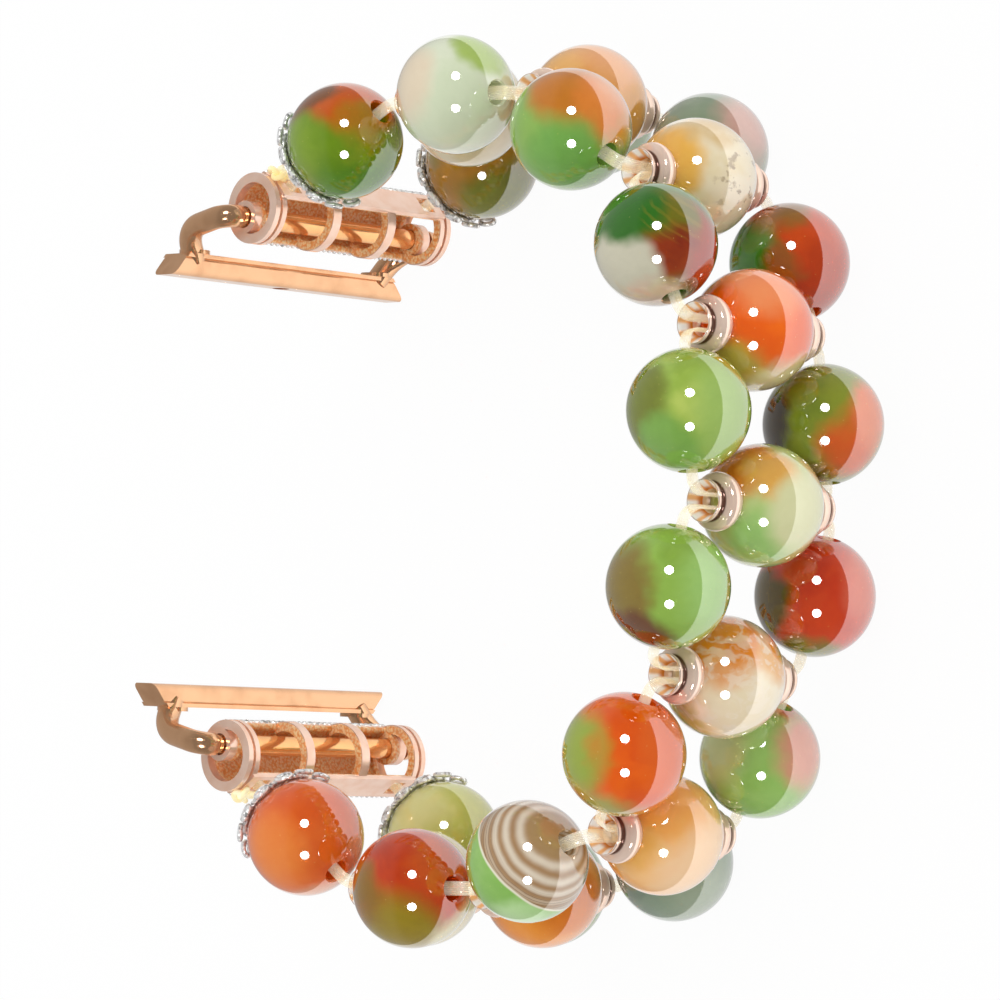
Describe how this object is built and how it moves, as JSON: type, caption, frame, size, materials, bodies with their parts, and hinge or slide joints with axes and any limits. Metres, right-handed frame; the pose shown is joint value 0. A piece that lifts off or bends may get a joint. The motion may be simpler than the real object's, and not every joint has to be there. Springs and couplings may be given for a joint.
{
  "type": "bead watch band",
  "caption": "Elastic agate bead band of two edge rows and cross beads with rondelles, cast cage end pieces and slide-in case adapters.",
  "frame": {"origin": "centre of the bounding box in plan, on the surface that the band's edge stands on", "axes": "+Z across the band's width, +X from the case side to the far side of the loop, +Y from the lower adapter to the upper one"},
  "size_m": [0.065, 0.077, 0.0278],
  "materials": {
    "agate_green": "polished",
    "agate_red": "polished",
    "agate_orange": "polished",
    "agate_cream": "polished",
    "agate_banded": "polished",
    "agate_grey_green": "polished",
    "rose_gold": "polished",
    "silver": "bright cast",
    "spring_bar_metal": "polished",
    "clear_elastic": "translucent"
  },
  "bodies": {
    "upper_end_piece": {"end_piece_top": "rose_gold", "spring_bar_barrel_top": "spring_bar_metal", "spring_bar_spring_top": "spring_bar_metal"},
    "upper_adapter": {"case_adapter_top": "rose_gold"},
    "upper_near_tip": {"spring_bar_near_tip_top": "spring_bar_metal"},
    "lower_near_tip": {"spring_bar_near_tip_bottom": "spring_bar_metal"},
    "upper_far_tip": {"spring_bar_far_tip_top": "spring_bar_metal"},
    "lower_far_tip": {"spring_bar_far_tip_bottom": "spring_bar_metal"},
    "link_01": {"end_beads_top": "agate_green", "bead_caps_top": "silver", "elastic_cord_01": "clear_elastic"},
    "rondelle_pair_01": {"rondelles_01": "rose_gold"},
    "cross_01": {"cross_bead_01": "agate_cream"},
    "rondelle_pair_02": {"rondelles_02": "rose_gold"},
    "cross_02": {"cross_bead_02": "agate_orange"},
    "rondelle_pair_03": {"rondelles_03": "rose_gold"},
    "cross_03": {"cross_bead_03": "agate_cream"},
    "rondelle_pair_04": {"rondelles_04": "rose_gold"},
    "cross_04": {"cross_bead_04": "agate_orange"},
    "rondelle_pair_05": {"rondelles_05": "rose_gold"},
    "cross_05": {"cross_bead_05": "agate_cream"},
    "rondelle_pair_06": {"rondelles_06": "rose_gold"},
    "cross_06": {"cross_bead_06": "agate_cream"},
    "rondelle_pair_07": {"rondelles_07": "rose_gold"},
    "cross_07": {"cross_bead_07": "agate_orange"},
    "rondelle_pair_08": {"rondelles_08": "rose_gold"},
    "cross_08": {"cross_bead_08": "agate_orange"},
    "rondelle_pair_09": {"rondelles_09": "rose_gold"},
    "cross_09": {"cross_bead_09": "agate_cream"},
    "link_02": {"elastic_cord_02": "clear_elastic"},
    "near_02": {"near_bead_02": "agate_cream"},
    "far_02": {"far_bead_02": "agate_green"},
    "link_03": {"elastic_cord_03": "clear_elastic"},
    "near_03": {"near_bead_03": "agate_green"},
    "far_03": {"far_bead_03": "agate_grey_green"},
    "link_04": {"elastic_cord_04": "clear_elastic"},
    "near_04": {"near_bead_04": "agate_red"},
    "far_04": {"far_bead_04": "agate_red"},
    "link_05": {"elastic_cord_05": "clear_elastic"},
    "near_05": {"near_bead_05": "agate_green"},
    "far_05": {"far_bead_05": "agate_green"},
    "link_06": {"elastic_cord_06": "clear_elastic"},
    "near_06": {"near_bead_06": "agate_green"},
    "far_06": {"far_bead_06": "agate_red"},
    "link_07": {"elastic_cord_07": "clear_elastic"},
    "near_07": {"near_bead_07": "agate_orange"},
    "far_07": {"far_bead_07": "agate_green"},
    "link_08": {"elastic_cord_08": "clear_elastic"},
    "near_08": {"near_bead_08": "agate_banded"},
    "far_08": {"far_bead_08": "agate_grey_green"},
    "link_09": {"elastic_cord_09": "clear_elastic"},
    "near_09": {"near_bead_09": "agate_red"},
    "far_09": {"far_bead_09": "agate_orange"},
    "link_10": {"end_beads_bottom": "agate_orange", "bead_caps_bottom": "silver", "elastic_cord_10": "clear_elastic"},
    "lower_end_piece": {"end_piece_bottom": "rose_gold", "spring_bar_barrel_bottom": "spring_bar_metal", "spring_bar_spring_bottom": "spring_bar_metal"},
    "lower_adapter": {"case_adapter_bottom": "rose_gold"}
  },
  "joints": [
    {"name": "upper_bar_hinge", "type": "hinge", "parent": "upper_end_piece", "child": "link_01", "pos_m": [-0.02087, 0.02648, 0.01391], "axis": [0, 0, 1], "range_deg": [-45, 40], "deforming": ["elastic_cord_01"]},
    {"name": "stretch_01", "type": "slide", "parent": "link_01", "child": "rondelle_pair_01", "axis": [0.8829, 0.4695, 0], "range_m": [0, 0.002], "stiffness_N_per_m": 150, "deforming": ["elastic_cord_01"]},
    {"name": "cross_bead_spin_01", "type": "hinge", "parent": "rondelle_pair_01", "child": "cross_01", "pos_m": [-0.00771, 0.03348, 0.01391], "axis": [0, 0, 1], "continuous": true},
    {"name": "band_hinge_01", "type": "hinge", "parent": "rondelle_pair_01", "child": "link_02", "pos_m": [-0.00771, 0.03348, 0.01391], "axis": [0, 0, 1], "range_deg": [-7, 50]},
    {"name": "stretch_02", "type": "slide", "parent": "link_02", "child": "rondelle_pair_02", "axis": [0.9994, -0.0349, 0], "range_m": [0, 0.002], "stiffness_N_per_m": 150, "deforming": ["elastic_cord_02"]},
    {"name": "cross_bead_spin_02", "type": "hinge", "parent": "rondelle_pair_02", "child": "cross_02", "pos_m": [0.00658, 0.03298, 0.01391], "axis": [0, 0, 1], "continuous": true},
    {"name": "band_hinge_02", "type": "hinge", "parent": "rondelle_pair_02", "child": "link_03", "pos_m": [0.00658, 0.03298, 0.01391], "axis": [0, 0, 1], "range_deg": [-7, 47]},
    {"name": "stretch_03", "type": "slide", "parent": "link_03", "child": "rondelle_pair_03", "axis": [0.8746, -0.4848, 0], "range_m": [0, 0.002], "stiffness_N_per_m": 150, "deforming": ["elastic_cord_03"]},
    {"name": "cross_bead_spin_03", "type": "hinge", "parent": "rondelle_pair_03", "child": "cross_03", "pos_m": [0.01909, 0.02604, 0.01391], "axis": [0, 0, 1], "continuous": true},
    {"name": "band_hinge_03", "type": "hinge", "parent": "rondelle_pair_03", "child": "link_04", "pos_m": [0.01909, 0.02604, 0.01391], "axis": [0, 0, 1], "range_deg": [-7, 53]},
    {"name": "stretch_04", "type": "slide", "parent": "link_04", "child": "rondelle_pair_04", "axis": [0.4695, -0.8829, 0], "range_m": [0, 0.002], "stiffness_N_per_m": 150, "deforming": ["elastic_cord_04"]},
    {"name": "cross_bead_spin_04", "type": "hinge", "parent": "rondelle_pair_04", "child": "cross_04", "pos_m": [0.0258, 0.01342, 0.01391], "axis": [0, 0, 1], "continuous": true},
    {"name": "band_hinge_04", "type": "hinge", "parent": "rondelle_pair_04", "child": "link_05", "pos_m": [0.0258, 0.01342, 0.01391], "axis": [0, 0, 1], "range_deg": [-7, 41]},
    {"name": "stretch_05", "type": "slide", "parent": "link_05", "child": "rondelle_pair_05", "axis": [0.1219, -0.9925, 0], "range_m": [0, 0.002], "stiffness_N_per_m": 150, "deforming": ["elastic_cord_05"]},
    {"name": "cross_bead_spin_05", "type": "hinge", "parent": "rondelle_pair_05", "child": "cross_05", "pos_m": [0.02754, -0.00077, 0.01391], "axis": [0, 0, 1], "continuous": true},
    {"name": "band_hinge_05", "type": "hinge", "parent": "rondelle_pair_05", "child": "link_06", "pos_m": [0.02754, -0.00077, 0.01391], "axis": [0, 0, 1], "range_deg": [-7, 41]},
    {"name": "stretch_06", "type": "slide", "parent": "link_06", "child": "rondelle_pair_06", "axis": [-0.2419, -0.9703, 0], "range_m": [0, 0.002], "stiffness_N_per_m": 150, "deforming": ["elastic_cord_06"]},
    {"name": "cross_bead_spin_06", "type": "hinge", "parent": "rondelle_pair_06", "child": "cross_06", "pos_m": [0.02408, -0.01464, 0.01391], "axis": [0, 0, 1], "continuous": true},
    {"name": "band_hinge_06", "type": "hinge", "parent": "rondelle_pair_06", "child": "link_07", "pos_m": [0.02408, -0.01464, 0.01391], "axis": [0, 0, 1], "range_deg": [-7, 31]},
    {"name": "stretch_07", "type": "slide", "parent": "link_07", "child": "rondelle_pair_07", "axis": [-0.4226, -0.9063, 0], "range_m": [0, 0.002], "stiffness_N_per_m": 150, "deforming": ["elastic_cord_07"]},
    {"name": "cross_bead_spin_07", "type": "hinge", "parent": "rondelle_pair_07", "child": "cross_07", "pos_m": [0.01804, -0.0276, 0.01391], "axis": [0, 0, 1], "continuous": true},
    {"name": "band_hinge_07", "type": "hinge", "parent": "rondelle_pair_07", "child": "link_08", "pos_m": [0.01804, -0.0276, 0.01391], "axis": [0, 0, 1], "range_deg": [-7, 64]},
    {"name": "stretch_08", "type": "slide", "parent": "link_08", "child": "rondelle_pair_08", "axis": [-0.9336, -0.3584, 0], "range_m": [0, 0.002], "stiffness_N_per_m": 150, "deforming": ["elastic_cord_08"]},
    {"name": "cross_bead_spin_08", "type": "hinge", "parent": "rondelle_pair_08", "child": "cross_08", "pos_m": [0.00469, -0.03273, 0.01391], "axis": [0, 0, 1], "continuous": true},
    {"name": "band_hinge_08", "type": "hinge", "parent": "rondelle_pair_08", "child": "link_09", "pos_m": [0.00469, -0.03273, 0.01391], "axis": [0, 0, 1], "range_deg": [-7, 38]},
    {"name": "stretch_09", "type": "slide", "parent": "link_09", "child": "rondelle_pair_09", "axis": [-0.9986, -0.0523, 0], "range_m": [0, 0.002], "stiffness_N_per_m": 150, "deforming": ["elastic_cord_09"]},
    {"name": "cross_bead_spin_09", "type": "hinge", "parent": "rondelle_pair_09", "child": "cross_09", "pos_m": [-0.00959, -0.03348, 0.01391], "axis": [0, 0, 1], "continuous": true},
    {"name": "band_hinge_09", "type": "hinge", "parent": "rondelle_pair_09", "child": "link_10", "pos_m": [-0.00959, -0.03348, 0.01391], "axis": [0, 0, 1], "range_deg": [-7, 57]},
    {"name": "near_bead_spin_02", "type": "hinge", "parent": "link_02", "child": "near_02", "pos_m": [-0.00056, 0.03323, 0.02245], "axis": [0.9994, -0.0349, 0], "continuous": true},
    {"name": "far_bead_spin_02", "type": "hinge", "parent": "link_02", "child": "far_02", "pos_m": [-0.00056, 0.03323, 0.00537], "axis": [0.9994, -0.0349, 0], "continuous": true},
    {"name": "near_bead_spin_03", "type": "hinge", "parent": "link_03", "child": "near_03", "pos_m": [0.01283, 0.02951, 0.02236], "axis": [0.8746, -0.4848, 0], "continuous": true},
    {"name": "far_bead_spin_03", "type": "hinge", "parent": "link_03", "child": "far_03", "pos_m": [0.01283, 0.02951, 0.00546], "axis": [0.8746, -0.4848, 0], "continuous": true},
    {"name": "near_bead_spin_04", "type": "hinge", "parent": "link_04", "child": "near_04", "pos_m": [0.02244, 0.01973, 0.02207], "axis": [0.4695, -0.8829, 0], "continuous": true},
    {"name": "far_bead_spin_04", "type": "hinge", "parent": "link_04", "child": "far_04", "pos_m": [0.02244, 0.01973, 0.00575], "axis": [0.4695, -0.8829, 0], "continuous": true},
    {"name": "near_bead_spin_05", "type": "hinge", "parent": "link_05", "child": "near_05", "pos_m": [0.02667, 0.00632, 0.02211], "axis": [0.1219, -0.9925, 0], "continuous": true},
    {"name": "far_bead_spin_05", "type": "hinge", "parent": "link_05", "child": "far_05", "pos_m": [0.02667, 0.00632, 0.00571], "axis": [0.1219, -0.9925, 0], "continuous": true},
    {"name": "near_bead_spin_06", "type": "hinge", "parent": "link_06", "child": "near_06", "pos_m": [0.02581, -0.00771, 0.02282], "axis": [-0.2419, -0.9703, 0], "continuous": true},
    {"name": "far_bead_spin_06", "type": "hinge", "parent": "link_06", "child": "far_06", "pos_m": [0.02581, -0.00771, 0.005], "axis": [-0.2419, -0.9703, 0], "continuous": true},
    {"name": "near_bead_spin_07", "type": "hinge", "parent": "link_07", "child": "near_07", "pos_m": [0.02106, -0.02112, 0.02211], "axis": [-0.4226, -0.9063, 0], "continuous": true},
    {"name": "far_bead_spin_07", "type": "hinge", "parent": "link_07", "child": "far_07", "pos_m": [0.02106, -0.02112, 0.00571], "axis": [-0.4226, -0.9063, 0], "continuous": true},
    {"name": "near_bead_spin_08", "type": "hinge", "parent": "link_08", "child": "near_08", "pos_m": [0.01137, -0.03017, 0.02274], "axis": [-0.9336, -0.3584, 0], "continuous": true},
    {"name": "far_bead_spin_08", "type": "hinge", "parent": "link_08", "child": "far_08", "pos_m": [0.01137, -0.03017, 0.00508], "axis": [-0.9336, -0.3584, 0], "continuous": true},
    {"name": "near_bead_spin_09", "type": "hinge", "parent": "link_09", "child": "near_09", "pos_m": [-0.00245, -0.0331, 0.02211], "axis": [-0.9986, -0.0523, 0], "continuous": true},
    {"name": "far_bead_spin_09", "type": "hinge", "parent": "link_09", "child": "far_09", "pos_m": [-0.00245, -0.0331, 0.00571], "axis": [-0.9986, -0.0523, 0], "continuous": true},
    {"name": "lower_bar_hinge", "type": "hinge", "parent": "link_10", "child": "lower_end_piece", "pos_m": [-0.02195, -0.02514, 0.01391], "axis": [0, 0, 1], "range_deg": [-45, 40], "deforming": ["elastic_cord_10"]},
    {"name": "upper_adapter_hinge", "type": "hinge", "parent": "upper_end_piece", "child": "upper_adapter", "pos_m": [-0.02399, 0.02382, 0.01391], "axis": [0, 0, 1], "range_deg": [-70, 70]},
    {"name": "upper_near_tip_slide", "type": "slide", "parent": "upper_end_piece", "child": "upper_near_tip", "axis": [0, 0, -1], "range_m": [0, 0.0009], "stiffness_N_per_m": 600, "deforming": ["spring_bar_spring_top"]},
    {"name": "upper_far_tip_slide", "type": "slide", "parent": "upper_end_piece", "child": "upper_far_tip", "axis": [0, 0, 1], "range_m": [0, 0.0009], "stiffness_N_per_m": 600, "deforming": ["spring_bar_spring_top"]},
    {"name": "lower_adapter_hinge", "type": "hinge", "parent": "lower_end_piece", "child": "lower_adapter", "pos_m": [-0.02444, -0.02189, 0.01391], "axis": [0, 0, 1], "range_deg": [-70, 70]},
    {"name": "lower_near_tip_slide", "type": "slide", "parent": "lower_end_piece", "child": "lower_near_tip", "axis": [0, 0, -1], "range_m": [0, 0.0009], "stiffness_N_per_m": 600, "deforming": ["spring_bar_spring_bottom"]},
    {"name": "lower_far_tip_slide", "type": "slide", "parent": "lower_end_piece", "child": "lower_far_tip", "axis": [0, 0, 1], "range_m": [0, 0.0009], "stiffness_N_per_m": 600, "deforming": ["spring_bar_spring_bottom"]}
  ]
}
